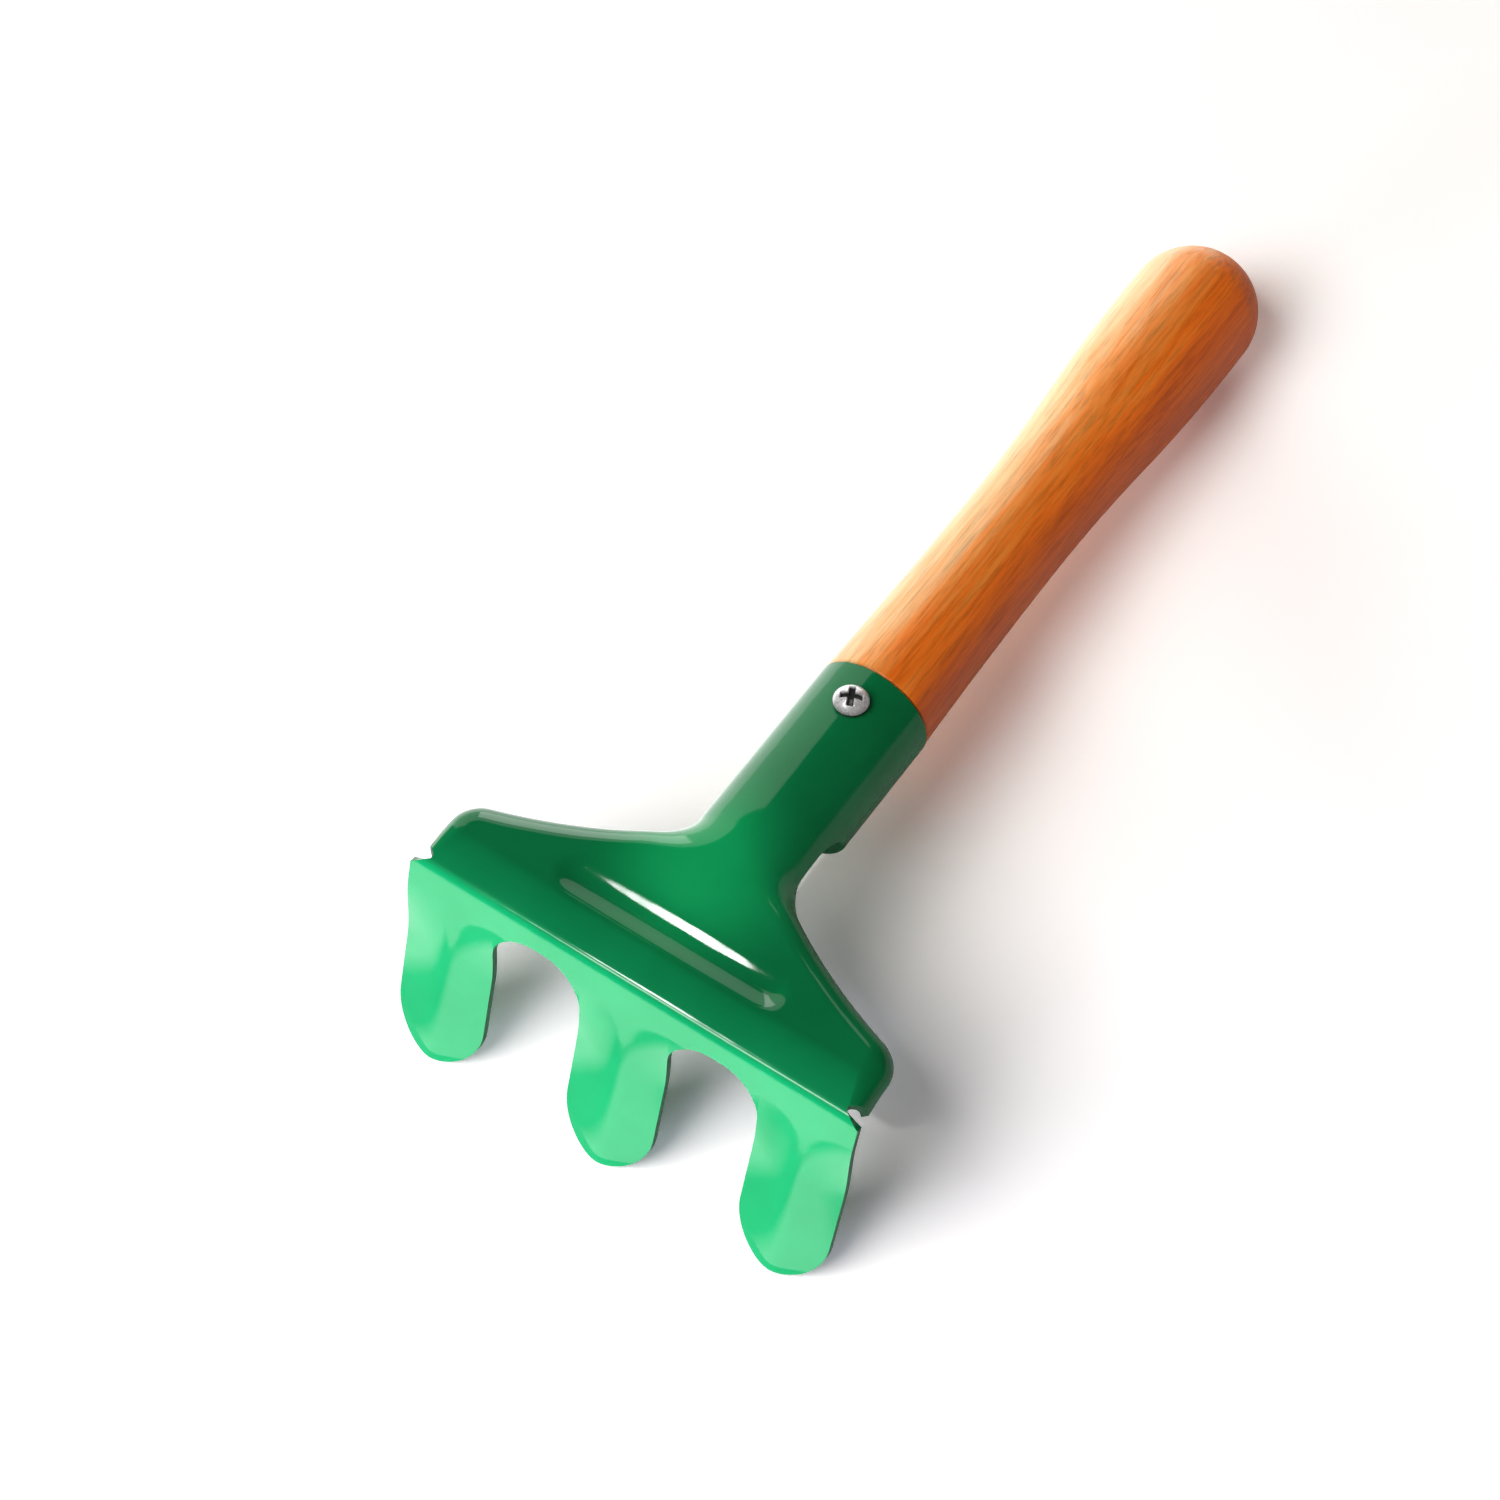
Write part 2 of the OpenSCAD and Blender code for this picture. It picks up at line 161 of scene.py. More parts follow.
def roof(u):
    """Share of the curl across a tine, 0 on its ridge and 1 at its edge."""
    return (math.hypot(u, RIDGE_ROUND) - RIDGE_ROUND) / (math.hypot(1.0, RIDGE_ROUND) - RIDGE_ROUND)


def tine_column(middle, a):
    tip = TINE_LEN - TIP_LEN * (1 - cos(a))
    return Column(middle + TINE_W / 2 * sin(a), GAP_TOP, tip, roof(sin(a)))


def gap_column(edge, side, a):
    run = GAP_R * (1 - cos(a))
    top = GAP_TOP - GAP_R * sin(a)
    return Column(edge + side * run, top, top, roof(1 - 2 * run / GAP_W))


def make_columns():
    """The columns from the middle of the head to its right end."""
    pitch = TINE_W + GAP_W
    tine = [90 * m / TINE_CELLS for m in range(-TINE_CELLS, TINE_CELLS + 1)]
    fillet = [90 * m / FILLET_CELLS for m in range(1, FILLET_CELLS + 1)]
    out = [tine_column(0, a) for a in tine[TINE_CELLS:]]
    out += [gap_column(TINE_W / 2, 1, a) for a in fillet]
    out += [Column(pitch / 2, STRIP_H, STRIP_H, 0.0)]
    out += [gap_column(TINE_W / 2 + GAP_W, -1, a) for a in reversed(fillet)]
    out += [tine_column(pitch, a) for a in tine]
    return out


COLUMNS = make_columns()
FRONT_CELLS = len(COLUMNS) - 1
HALF_CELLS = FRONT_CELLS + ROLL_CELLS + 1
OUTER_TINE = FRONT_CELLS - 2 * TINE_CELLS

CORNER_C = Vector((PLATE_W / 2 - CORNER_R, CORNER_Y))
CORNER_TURN = 90 - BACK_SLOPE
BACK_C = CORNER_C + (CORNER_R + BACK_R) * outward(CORNER_TURN)
NECK_TURN = math.degrees(math.acos((BACK_C.x - NECK_OUT_R - NECK_R) / (BACK_R - NECK_R)))
NECK_C = BACK_C - (BACK_R - NECK_R) * outward(NECK_TURN)
FLAP_FROM = SOCKET_FROM - FLAP_R - EPS
SOCKET_SWEEP = 180 - math.degrees(SEAM_W / 2 / NECK_OUT_R)
RIM_DROP = RIM_R * (1 - cos(RIM_SWEEP)) + RIM_SKIRT * sin(RIM_SWEEP)

# A row of the plate: a point of the outline, the way it faces, and the roll there, from rim (0) to tube (1)
Station = namedtuple("Station", "edge turn radius sweep skirt tube")


def rim_skirt(r):
    """Length of the straight edge below a roll of radius r, so that the rim's drop stays the same."""
    return (RIM_DROP - r * (1 - cos(RIM_SWEEP))) / sin(RIM_SWEEP)


def rim_station(edge, turn, r):
    return Station(edge, turn, r, RIM_SWEEP, rim_skirt(r), 0.0)


def neck_station(edge, turn, f):
    sweep = mix(RIM_SWEEP, NECK_SWEEP, f)
    return Station(edge, turn, mix(ROLL_R, NECK_OUT_R, f), sweep, rim_skirt(ROLL_R) * (1 - f), f)


def tube_station(y, sweep):
    return Station(Vector((NECK_OUT_R, y)), 0.0, NECK_OUT_R, sweep, 0.0, 1.0)


def flap_station(y, a):
    return tube_station(y, NECK_SWEEP + math.degrees(FLAP_R * (1 - cos(a)) / NECK_OUT_R))


def make_stations():
    """The rows from the notch round the corner, along the back and the neck to the socket's end."""
    out = []
    for i in range(END_ROWS + 1):
        f = i / END_ROWS
        edge = Vector((PLATE_W / 2, mix(NOTCH_Y, CORNER_Y, f)))
        out.append(rim_station(edge, NOTCH_SLANT * (1 - f) ** 2, mix(RIM_R, ROLL_R, ease(f))))
    for i in range(1, CORNER_ROWS + 1):
        a = CORNER_TURN * i / CORNER_ROWS
        out.append(rim_station(CORNER_C + CORNER_R * outward(a), a, ROLL_R))
    for i in range(1, BACK_ROWS + 1):
        a = mix(CORNER_TURN, NECK_TURN, i / BACK_ROWS)
        out.append(rim_station(BACK_C - BACK_R * outward(a), a, ROLL_R))
    for i in range(1, NECK_ROWS + 1):
        a = NECK_TURN * (1 - i / NECK_ROWS)
        out.append(neck_station(NECK_C - NECK_R * outward(a), a, ease(i / NECK_ROWS)))
    for i in range(1, STRAIGHT_ROWS + 1):
        out.append(flap_station(mix(NECK_C.y, FLAP_FROM, i / STRAIGHT_ROWS), 0.0))
    for i in range(1, FLAP_ROWS + 1):
        a = 90 * i / FLAP_ROWS
        out.append(flap_station(FLAP_FROM + FLAP_R * sin(a), a))
    for i in range(SOCKET_ROWS + 1):
        out.append(tube_station(mix(SOCKET_FROM, SOCKET_TO, i / SOCKET_ROWS), SOCKET_SWEEP))
    return out


def roll_start(st):
    """Where the flat of a row ends and its roll begins, in X and Y."""
    reach = st.radius * sin(st.sweep) + st.skirt * cos(st.sweep)
    return st.edge - mix(reach, st.radius, st.tube) * outward(st.turn)


STATIONS = make_stations()
FRONT_END = roll_start(STATIONS[0])


def groove_drop(x, y):
    half = (GROOVE_LEN - GROOVE_W) / 2
    d = math.hypot(max(0.0, abs(x) - half), y - GROOVE_Y) / (GROOVE_W / 2)
    depth = GROOVE_DEPTH * (1 - GROOVE_FADE * (2 * x / GROOVE_LEN) ** 2)
    return depth * (1 + cos(180 * d)) / 2 if d < 1 else 0.0


def front_point(col, s, t):
    """A point s down the tines and t below their outer face."""
    back = TINE_CURL * col.curl * ease((s - CURL_FROM) / (CURL_TO - CURL_FROM)) + t
    p = BEND_C + (BEND_R - back) * facing(90 - TINE_LEAN) - (s - BEND_RUN) * facing(-TINE_LEAN)
    return (col.x, p.x, p.y)


def bend_point(col, w, t):
    """A point at share w of the front bend."""
    p = BEND_C + (BEND_R - t) * facing(mix(90 - TINE_LEAN, BEND_TILT, w))
    return (col.x * mix(1.0, FRONT_END.x / (WIDTH / 2), w), p.x, p.y)


def relief_point(col, w, t):
    """A point at share w of the way from the bend to the plate's first row."""
    y = mix(BEND_RUN, FRONT_END.y, w)
    return (col.x / (WIDTH / 2) * FRONT_END.x, y, top_z(y) - t)


def plate_point(st, k, t):
    """A point of column k on a row of the plate, its rim, the neck or the socket."""
    start = roll_start(st)
    flat_end = start.x
    roll = math.radians(st.sweep) * st.radius
    crown = flat_end + math.radians(CROWN_SWEEP) * st.radius
    whole = flat_end + roll + st.skirt
    if k <= FRONT_CELLS:
        spread = flat_end * COLUMNS[k].x / (WIDTH / 2)
        even = crown * k / FRONT_CELLS
    else:
        spread = flat_end + roll * (k - FRONT_CELLS) / ROLL_CELLS if k < HALF_CELLS else whole
        even = mix(crown, whole, (k - FRONT_CELLS) / (ROLL_CELLS + 1))
    d = mix(spread, even, st.tube)
    a = min(st.sweep, math.degrees(max(0.0, d - flat_end) / st.radius))
    skirt = max(0.0, d - flat_end - roll)
    out = 0.0 if d <= flat_end else (st.radius - t) * sin(a) + skirt * cos(a)
    drop = st.radius - (st.radius - t) * cos(a) + skirt * sin(a)
    x = min(d, flat_end)
    groove = groove_drop(x, start.y) if d <= flat_end else 0.0
    return (x + out * cos(st.turn), start.y + out * sin(st.turn), top_z(start.y) - drop - groove)


STRIP_ROW = TIP_ROWS
BEND_ROW = STRIP_ROW + STRIP_ROWS
RELIEF_ROW = BEND_ROW + BEND_ROWS
PLATE_ROW = RELIEF_ROW + RELIEF_ROWS
ROW_COUNT = PLATE_ROW + len(STATIONS)
COLUMN_COUNT = 2 * HALF_CELLS + 1


def half_point(j, k, t):
    """The grid's point at row j and column k of the right half, t below the outer face."""
    col = COLUMNS[min(k, FRONT_CELLS)]
    if j < STRIP_ROW:
        return front_point(col, mix(col.tip, col.strip, j / TIP_ROWS), t)
    if j < BEND_ROW:
        return front_point(col, mix(col.strip, BEND_RUN, (j - STRIP_ROW) / STRIP_ROWS), t)
    if j < RELIEF_ROW:
        return bend_point(col, (j - BEND_ROW) / BEND_ROWS, t)
    if j < PLATE_ROW:
        return relief_point(col, (j - RELIEF_ROW) / RELIEF_ROWS, t)
    return plate_point(STATIONS[j - PLATE_ROW], k, t)


def has_cell(j, c):
    """Whether there is metal in a cell: none in the gaps between the tines and beside the front."""
    if j < 0 or j > ROW_COUNT - 2 or c < 0 or c > COLUMN_COUNT - 2:
        return False
    k = HALF_CELLS - 1 - c if c < HALF_CELLS else c - HALF_CELLS
    if j < STRIP_ROW:
        return k < TINE_CELLS or OUTER_TINE <= k < FRONT_CELLS
    if j < PLATE_ROW:
        return k < FRONT_CELLS
    return True


def head_mesh():
    verts, faces, ids = [], [], {}

    def corner(j, c, t):
        key = (j, c, t)
        if key not in ids:
            x, y, z = half_point(j, abs(c - HALF_CELLS), t)
            ids[key] = len(verts)
            verts.append((-x if c < HALF_CELLS else x, y, z))
        return ids[key]

    def wall(p, q):
        faces.append((corner(*q, 0.0), corner(*p, 0.0), corner(*p, SHEET), corner(*q, SHEET)))

    for j in range(ROW_COUNT - 1):
        for c in range(COLUMN_COUNT - 1):
            if not has_cell(j, c):
                continue
            ring = [(j, c), (j + 1, c), (j + 1, c + 1), (j, c + 1)]
            faces.append(tuple(corner(*p, 0.0) for p in ring))
            faces.append(tuple(corner(*p, SHEET) for p in reversed(ring)))
            for n, (dj, dc) in enumerate(((0, -1), (1, 0), (0, 1), (-1, 0))):
                if not has_cell(j + dj, c + dc):
                    wall(ring[n], ring[(n + 1) % 4])
    return verts, faces


# Pieces turned about an axis: the handle, and the screw, which is then stood upright
HANDLE_STEPS, HANDLE_SEGMENTS, ROUND_STEPS = 30, 128, 6
HEAD_RINGS, HEAD_SEGMENTS = 44, 144


def lathe(section, segments):
    """Verts and faces of a section of (radius, distance) points turned about Y."""
    verts, faces, rings = [], [], []
    for r, y in section:
        if r < EPS:
            rings.append([len(verts)] * segments)
            verts.append((0.0, y, 0.0))
            continue
        rings.append(list(range(len(verts), len(verts) + segments)))
        for i in range(segments):
            a = 360 * i / segments
            verts.append((r * sin(a), y, r * cos(a)))
    for low, high in zip(rings, rings[1:]):
        for i in range(segments):
            n = (i + 1) % segments
            ring = [low[i], high[i], high[n], low[n]]
            ring = [v for m, v in enumerate(ring) if v != ring[m - 1]]
            faces.append(tuple(ring))
    return verts, faces


def handle_section():
    """The tenon, the rounded shoulder, the hollow to the waist, the flare and the domed butt."""
    shoulder_at = SOCKET_TO + SHOULDER_GAP
    waist_at = shoulder_at + WAIST_Y
    waist_r = WAIST_D / 2
    butt_r = BUTT_D / 2
    dome_at = LENGTH - butt_r
    land_at = dome_at - BUTT_LAND
    flare_run = (land_at - waist_at) / 2
    flare_rise = (BUTT_D - WAIST_D) / 4
    hollow_rise = (SHOULDER_D - WAIST_D) / 2
    tenon_r = BORE_R - TENON_PLAY
    tenon_from = SOCKET_TO - TENON_LEN
    out = [(0.0, tenon_from), (tenon_r - TENON_BEVEL, tenon_from), (tenon_r, tenon_from + TENON_BEVEL)]
    out += [(tenon_r, shoulder_at - EPS), (tenon_r, shoulder_at)]
    first = 1 - SHOULDER_ROUND / WAIST_Y
    round_r = waist_r + hollow_rise * first * first - SHOULDER_ROUND
    round_at = shoulder_at + SHOULDER_ROUND
    for i in range(ROUND_STEPS + 1):
        a = 90 * i / ROUND_STEPS
        out.append((round_r + SHOULDER_ROUND * sin(a), round_at - SHOULDER_ROUND * cos(a)))
    for i in range(1, HANDLE_STEPS + 1):
        f = mix(first, 0.0, i / HANDLE_STEPS)
        out.append((waist_r + hollow_rise * f * f, waist_at - WAIST_Y * f))
    for i in range(1, HANDLE_STEPS + 1):
        f = i / HANDLE_STEPS
        out.append((waist_r + flare_rise * f * f, waist_at + flare_run * f))
    for i in range(1, HANDLE_STEPS + 1):
        f = 1 - i / HANDLE_STEPS
        out.append((butt_r - flare_rise * f * f, land_at - flare_run * f))
    for i in range(HANDLE_STEPS + 1):
        a = 90 * i / HANDLE_STEPS
        out.append((butt_r * cos(a), dome_at + butt_r * sin(a)))
    return out


def screw_section():
    """The point, the thread as rings, and the domed head."""
    head_r = HEAD_D / 2
    root_r = SCREW_D / 2 - THREAD_DEPTH
    out = [(0.0, -SCREW_LEN), (root_r, SCREW_POINT - SCREW_LEN)]
    for i in range(int((SCREW_LEN - SCREW_POINT) / THREAD_PITCH)):
        low = SCREW_POINT - SCREW_LEN + i * THREAD_PITCH
        out += [(SCREW_D / 2, low + THREAD_PITCH / 2), (root_r, low + THREAD_PITCH)]
    out += [(root_r, 0.0), (head_r - HEAD_BREAK, 0.0), (head_r, HEAD_BREAK), (head_r, HEAD_EDGE)]
    for i in range(1, HEAD_RINGS + 1):
        x = head_r * (1 - i / HEAD_RINGS)
        out.append((x, HEAD_H - DOME_R + math.sqrt(DOME_R * DOME_R - x * x)))
    return out


def recess_drop(x, y):
    """Depth of the cross recess, shallower towards the ends of its arms."""
    u = x * cos(RECESS_TURN) + y * sin(RECESS_TURN)
    v = y * cos(RECESS_TURN) - x * sin(RECESS_TURN)
    arm = min(
        max(abs(u) - RECESS_LEN / 2, abs(v) - RECESS_W / 2),
        max(abs(v) - RECESS_LEN / 2, abs(u) - RECESS_W / 2),
    )
    inside = ease(0.5 - arm / (2 * RECESS_SLOPE))
    return RECESS_H * inside * mix(1.0, RECESS_END_SHARE, ease(math.hypot(x, y) / RECESS_END_R))


def screw_mesh():
    verts, faces = lathe(screw_section(), HEAD_SEGMENTS)
    out = []
    for x, h, y in verts:
        drop = recess_drop(x, y) if h > HEAD_EDGE else 0.0
        out.append((x, SCREW_AT.y + y, SCREW_AT.z + h - drop))
    return out, [tuple(reversed(f)) for f in faces]


# Materials
PAINT_STOPS = [(0.3, (0.0014, 0.150, 0.043)), (0.7, (0.0028, 0.175, 0.053))]
PAINT_IOR = 1.55
# Wood colours from pale to dark: they carry the grain's tone and also painted light and shade, pale on the
# lit left side and dark on the shaded right side
WOOD_GRAIN_AND_SHADE_STOPS = [
    (0.16, (0.88, 0.58, 0.280)),
    (0.46, (0.94, 0.30, 0.042)),
    (0.66, (0.96, 0.190, 0.008)),
    (0.95, (0.71, 0.116, 0.009)),
]
GRAIN_STRETCH, PORE_STRETCH = (1.0, 0.055, 1.0), (1.0, 0.05, 1.0)
GRAIN_SHARE = 1.2
WOOD_SPECULAR, WOOD_SHEEN, SHEEN_ROUGH = 0.45, 0.05, 0.4
SHEEN_TINT = (1.0, 0.9, 0.75, 1.0)
ZINC_STOPS = [(0.3, (0.84, 0.84, 0.85)), (0.65, (0.95, 0.95, 0.96))]
ZINC_METALLIC = 0.5
# Painted shade in the screw's recess: how dark it gets, and the depths below the dome where it starts and
# ends, in millimetres
RECESS_DARK, DARK_FROM, DARK_TO = 0.06, 0.12, 0.55


def new_material(name):
    mat = bpy.data.materials.new(name)
    mat.use_nodes = True
    nodes = mat.node_tree.nodes
    return mat, nodes, mat.node_tree.links, nodes["Principled BSDF"]


def tool_place(nodes, links, scale):
    """Coordinates along the tool's own axes, stretched by scale."""
    turn = nodes.new("ShaderNodeMapping")
    turn.inputs["Rotation"].default_value = (math.radians(REST_TILT), 0.0, 0.0)
    links.new(nodes.new("ShaderNodeTexCoord").outputs["Object"], turn.inputs["Vector"])
    stretch = nodes.new("ShaderNodeMapping")
    stretch.inputs["Scale"].default_value = scale
    links.new(turn.outputs["Vector"], stretch.inputs["Vector"])
    return stretch.outputs["Vector"]


def add_noise(nodes, links, vector, scale, detail, roughness):
    node = nodes.new("ShaderNodeTexNoise")
    node.inputs["Scale"].default_value = scale
    node.inputs["Detail"].default_value = detail
    node.inputs["Roughness"].default_value = roughness
    links.new(vector, node.inputs["Vector"])
    return node.outputs["Fac"]


def add_range(nodes, links, value, low, high, to_low, to_high):
    node = nodes.new("ShaderNodeMapRange")
    for key, number in (("From Min", low), ("From Max", high), ("To Min", to_low), ("To Max", to_high)):
        node.inputs[key].default_value = number
    links.new(value, node.inputs["Value"])
    return node.outputs["Result"]


def add_ramp(nodes, links, value, stops):
    node = nodes.new("ShaderNodeValToRGB")
    ramp = node.color_ramp
    while len(ramp.elements) < len(stops):
        ramp.elements.new(0.5)
    for element, (place, color) in zip(ramp.elements, stops):
        element.position = place
        element.color = (*color, 1.0)
    links.new(value, node.inputs["Fac"])
    return node.outputs["Color"]


def add_bump(nodes, links, height, strength, distance):
    node = nodes.new("ShaderNodeBump")
    node.inputs["Strength"].default_value = strength
    node.inputs["Distance"].default_value = distance
    links.new(height, node.inputs["Height"])
    return node.outputs["Normal"]


def add_shade(nodes, links, color, shade):
    """A colour multiplied by a grey."""
    node = nodes.new("ShaderNodeMix")
    node.data_type = "RGBA"
    node.blend_type = "MULTIPLY"
    node.inputs["Factor"].default_value = 1.0
    links.new(color, node.inputs["A"])
    links.new(shade, node.inputs["B"])
    return node.outputs["Result"]


def add_scaled(nodes, links, value, factor, base):
    """value * factor + base, where value and base are outputs and factor is a number."""
    node = nodes.new("ShaderNodeMath")
    node.operation = "MULTIPLY_ADD"
    node.inputs[1].default_value = factor
    links.new(value, node.inputs[0])
    links.new(base, node.inputs[2])
    return node.outputs["Value"]


def paint_material():
    mat, nodes, links, bsdf = new_material("green_enamel")
    place = nodes.new("ShaderNodeTexCoord").outputs["Object"]
    tint = add_noise(nodes, links, place, scale=60.0, detail=3.0, roughness=0.55)
    links.new(add_ramp(nodes, links, tint, PAINT_STOPS), bsdf.inputs["Base Color"])
    gloss = add_noise(nodes, links, place, scale=140.0, detail=4.0, roughness=0.6)
    rough = add_range(nodes, links, gloss, low=0.3, high=0.7, to_low=0.05, to_high=0.09)
    links.new(rough, bsdf.inputs["Roughness"])
    bsdf.inputs["IOR"].default_value = PAINT_IOR
    wave = add_noise(nodes, links, place, scale=90.0, detail=2.0, roughness=0.4)
    links.new(add_bump(nodes, links, wave, strength=0.5, distance=0.2 * MM), bsdf.inputs["Normal"])
    return mat


def wood_material():
    """Lacquered wood with its grain and fine pores, its colour painted paler on the left and darker on the
    right as painted light and shade.
    """
    mat, nodes, links, bsdf = new_material("lacquered_wood")
    along = tool_place(nodes, links, GRAIN_STRETCH)
    broad = add_noise(nodes, links, along, scale=170.0, detail=3.0, roughness=0.55)
    fine = add_noise(nodes, links, along, scale=900.0, detail=4.0, roughness=0.65)
    grain = nodes.new("ShaderNodeMix")
    grain.data_type = "FLOAT"
    grain.inputs["Factor"].default_value = 0.5
    links.new(broad, grain.inputs["A"])
    links.new(fine, grain.inputs["B"])
    # Painted light and shade: across X the colour runs from pale on the left to dark on the right, with the
    # grain added on top
    split = nodes.new("ShaderNodeSeparateXYZ")
    links.new(nodes.new("ShaderNodeTexCoord").outputs["Object"], split.inputs["Vector"])
    half = BUTT_D / 2 * MM
    centre = GRAIN_SHARE / 2
    side = add_range(nodes, links, split.outputs["X"], -half, half, -centre, 1.0 - centre)
    grain_and_side_light = add_scaled(nodes, links, grain.outputs["Result"], GRAIN_SHARE, side)
    color = add_ramp(nodes, links, grain_and_side_light, WOOD_GRAIN_AND_SHADE_STOPS)
    across = tool_place(nodes, links, PORE_STRETCH)
    pores = add_noise(nodes, links, across, scale=2300.0, detail=6.0, roughness=0.7)
    pore = add_range(nodes, links, pores, low=0.32, high=0.54, to_low=0.68, to_high=1.0)
    links.new(add_shade(nodes, links, color, pore), bsdf.inputs["Base Color"])
    rough = add_range(nodes, links, fine, low=0.3, high=0.7, to_low=0.42, to_high=0.32)
    links.new(rough, bsdf.inputs["Roughness"])
    bsdf.inputs["Specular IOR Level"].default_value = WOOD_SPECULAR
    bsdf.inputs["Sheen Weight"].default_value = WOOD_SHEEN
    bsdf.inputs["Sheen Roughness"].default_value = SHEEN_ROUGH
    bsdf.inputs["Sheen Tint"].default_value = SHEEN_TINT
    links.new(add_bump(nodes, links, pores, strength=0.25, distance=0.2 * MM), bsdf.inputs["Normal"])
    return mat


def painted_recess_shade(nodes, links):
    """Painted shade in the screw's recess: 1 on the dome, falling to RECESS_DARK in the depth of the
    recess.
    """
    shift = LAID_DOWN.inverted() @ Vector(REST_SHIFT)
    local = nodes.new("ShaderNodeVectorMath")
    local.operation = "SUBTRACT"
    local.inputs[1].default_value = (shift + SCREW_AT + Vector((0.0, 0.0, HEAD_H))) * MM
    links.new(tool_place(nodes, links, (1.0, 1.0, 1.0)), local.inputs[0])
    level = nodes.new("ShaderNodeVectorMath")
    level.operation = "MULTIPLY"
    level.inputs[1].default_value = (1.0, 1.0, 0.0)
    links.new(local.outputs["Vector"], level.inputs[0])
    square = nodes.new("ShaderNodeVectorMath")
    square.operation = "DOT_PRODUCT"
    links.new(level.outputs["Vector"], square.inputs[0])
    links.new(level.outputs["Vector"], square.inputs[1])
    split = nodes.new("ShaderNodeSeparateXYZ")
    links.new(local.outputs["Vector"], split.inputs["Vector"])
    height = add_scaled(nodes, links, square.outputs["Value"], 1 / (2 * DOME_R * MM), split.outputs["Z"])
    return add_range(nodes, links, height, -DARK_TO * MM, -DARK_FROM * MM, RECESS_DARK, 1.0)


def zinc_material():
    mat, nodes, links, bsdf = new_material("bright_zinc")
    place = nodes.new("ShaderNodeTexCoord").outputs["Object"]
    wear = add_noise(nodes, links, place, scale=900.0, detail=4.0, roughness=0.6)
    color = add_ramp(nodes, links, wear, ZINC_STOPS)
    # The zinc's colour is painted darker with depth in the recess, as painted shade
    links.new(add_shade(nodes, links, color, painted_recess_shade(nodes, links)), bsdf.inputs["Base Color"])
    rough = add_range(nodes, links, wear, low=0.3, high=0.7, to_low=0.32, to_high=0.20)
    links.new(rough, bsdf.inputs["Roughness"])
    bsdf.inputs["Metallic"].default_value = ZINC_METALLIC
    links.new(add_bump(nodes, links, wear, strength=0.12, distance=0.1 * MM), bsdf.inputs["Normal"])
    return mat


# The three pieces
head = finish_piece("pressed_head", *head_mesh(), paint_material(), "green_paint", "rake_head")
edge = head.modifiers.new("paint_edge", "BEVEL")
edge.width = PAINT_EDGE * MM
edge.segments = EDGE_STEPS
edge.limit_method = "ANGLE"
edge.angle_limit = math.radians(EDGE_ANGLE)
edge.harden_normals = True
turning = lathe(handle_section(), HANDLE_SEGMENTS)
grip = finish_piece("turned_handle", *turning, wood_material(), "wood", "handle")
fixing = finish_piece("cross_screw", *screw_mesh(), zinc_material(), "zinc", "screw")
for piece in (head, grip, fixing):
    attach(piece, "root")


# Studio, in metres: a white table, lamps, unseen flags, and cards that only show in the gloss
FLOOR_HALF = 2.0
TABLE_STOPS = [(0.3, (0.93, 0.915, 0.905)), (0.7, (0.95, 0.935, 0.925))]
LIT_REACH = 0.20
GLOSS_FLOOR = 0.35
SEEN_FLOOR = 1.39
WORLD_TINT = (1.0, 0.82, 0.77, 1.0)
GLOSS_WORLD, OPEN_WORLD, SEEN_WORLD = 0.03, 0.065, 0.92
PALE = (SEEN_WORLD, SEEN_WORLD, SEEN_WORLD, 1.0)
WAVE_UNIT = 20.0
BAND_SHIFT = 3.0
BAND_DARK = 0.15
SPOT_POWER, SPOT_CONE, SPOT_SOFT = 19.0, 2.4, 0.005


def floor_material():
    """White, dimmer in reflections, and lifted for the camera alone."""
    mat, nodes, links, bsdf = new_material("white_table")
    place = nodes.new("ShaderNodeTexCoord").outputs["Object"]
    fibre = add_noise(nodes, links, place, scale=30.0, detail=3.0, roughness=0.5)
    dim = nodes.new("ShaderNodeMix")
    dim.data_type = "RGBA"
    dim.inputs["B"].default_value = (GLOSS_FLOOR, GLOSS_FLOOR, GLOSS_FLOOR, 1.0)
    light_path = nodes.new("ShaderNodeLightPath")
    links.new(light_path.outputs["Is Glossy Ray"], dim.inputs["Factor"])
    links.new(add_ramp(nodes, links, fibre, TABLE_STOPS), dim.inputs["A"])
    white = nodes.new("ShaderNodeVectorMath")
    white.operation = "SCALE"
    links.new(dim.outputs["Result"], white.inputs[0])
    lift = add_range(nodes, links, light_path.outputs["Is Camera Ray"], 0.0, 1.0, 1.0, SEEN_FLOOR)
    links.new(lift, white.inputs["Scale"])
    links.new(white.outputs["Vector"], bsdf.inputs["Base Color"])
    bsdf.inputs["Roughness"].default_value = 1.0
    bsdf.inputs["Specular IOR Level"].default_value = 0.0
    # Far from the rake the lamps fade out, so the table the camera sees blends into the pale backdrop
    reach = nodes.new("ShaderNodeVectorMath")
    reach.operation = "LENGTH"
    links.new(place, reach.inputs[0])
    far = add_range(nodes, links, reach.outputs["Value"], LIT_REACH, 2 * LIT_REACH, 0.0, 1.0)
    seen = nodes.new("ShaderNodeMath")
    seen.operation = "MULTIPLY"
    links.new(far, seen.inputs[0])
    links.new(light_path.outputs["Is Camera Ray"], seen.inputs[1])
    pale = nodes.new("ShaderNodeEmission")
    pale.inputs["Color"].default_value = PALE
    blend = nodes.new("ShaderNodeMixShader")
    links.new(seen.outputs["Value"], blend.inputs["Fac"])
    links.new(bsdf.outputs["BSDF"], blend.inputs[1])
    links.new(pale.outputs["Emission"], blend.inputs[2])
    links.new(blend.outputs["Shader"], nodes["Material Output"].inputs["Surface"])
    return mat


